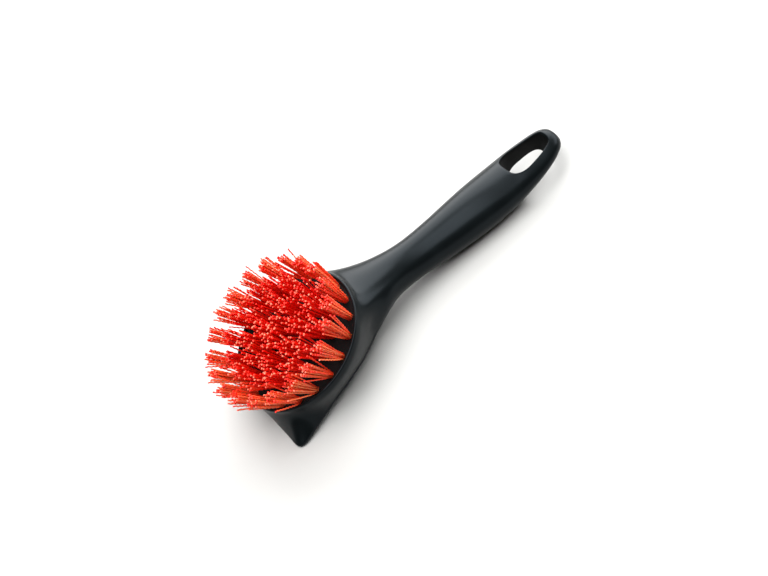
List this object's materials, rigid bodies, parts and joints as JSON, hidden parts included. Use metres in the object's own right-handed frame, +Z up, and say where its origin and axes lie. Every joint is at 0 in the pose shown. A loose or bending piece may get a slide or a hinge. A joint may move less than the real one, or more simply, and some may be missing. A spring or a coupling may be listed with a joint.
{
  "type": "wheel brush",
  "caption": "Hand brush with a round field of stiff crimped filament tufts in a fan-shaped head, a straight scraping edge and a grip with a hanging slot.",
  "frame": {"origin": "middle of the brush's bounding box, on the surface that the brush lies on", "axes": "+X along the brush from the front edge towards the hanging slot, +Y across the head, +Z up from the surface, with the brush lying on its back and its bristles up"},
  "size_m": [0.267, 0.0994, 0.0694],
  "materials": {
    "handle_plastic": "fine moulded satin polypropylene, black",
    "plate_plastic": "moulded polypropylene, black",
    "filament": "crimped drawn filament, orange-red, with a soft gloss",
    "anchor_wire": "flat galvanised wire"
  },
  "bodies": {
    "root": {"handle_body": "handle_plastic", "bristle_plate": "plate_plastic", "tuft_a01": "filament", "tuft_a02": "filament", "tuft_a03": "filament", "tuft_a04": "filament", "tuft_a05": "filament", "tuft_a06": "filament", "tuft_a07": "filament", "tuft_a08": "filament", "tuft_a09": "filament", "tuft_a10": "filament", "tuft_a11": "filament", "tuft_a12": "filament", "tuft_a13": "filament", "tuft_a14": "filament", "tuft_a15": "filament", "tuft_a16": "filament", "tuft_a17": "filament", "tuft_a18": "filament", "tuft_a19": "filament", "tuft_a20": "filament", "tuft_b01": "filament", "tuft_b02": "filament", "tuft_b03": "filament", "tuft_b04": "filament", "tuft_b05": "filament", "tuft_b06": "filament", "tuft_b07": "filament", "tuft_b08": "filament", "tuft_b09": "filament", "tuft_b10": "filament", "tuft_b11": "filament", "tuft_b12": "filament", "tuft_b13": "filament", "tuft_b14": "filament", "tuft_c01": "filament", "tuft_c02": "filament", "tuft_c03": "filament", "tuft_c04": "filament", "tuft_c05": "filament", "tuft_c06": "filament", "tuft_c07": "filament", "tuft_c08": "filament", "tuft_d01": "filament", "tuft_d02": "filament", "tuft_d03": "filament"}
  },
  "joints": []
}
